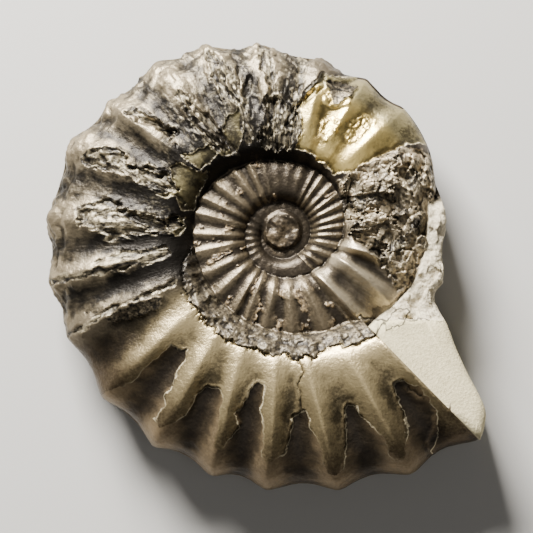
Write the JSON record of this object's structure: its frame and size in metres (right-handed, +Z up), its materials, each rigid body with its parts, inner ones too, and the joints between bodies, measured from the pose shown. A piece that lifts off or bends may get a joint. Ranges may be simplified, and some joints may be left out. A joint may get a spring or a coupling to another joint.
{
  "type": "fossil ammonite",
  "caption": "Ribbed spiral fossil shell lying on its side, part of its last turn broken away, with a wedge of sawn stone left beside the mouth.",
  "frame": {"origin": "middle of the bounding box's bottom, on the surface that the fossil lies on", "axes": "+Z up, out of the side with the visible coil; +X towards the side with the sawn stone; +Y away from the thick lower edge of the last turn"},
  "size_m": [0.0574, 0.0585, 0.0152],
  "materials": {
    "fossil_stone": "dark pyritised shell, semi-gloss, with bronze and brassy tints on the ribs and pale grey matt stone at the mouth"
  },
  "bodies": {
    "root": {"ammonite": "fossil_stone"}
  },
  "joints": []
}
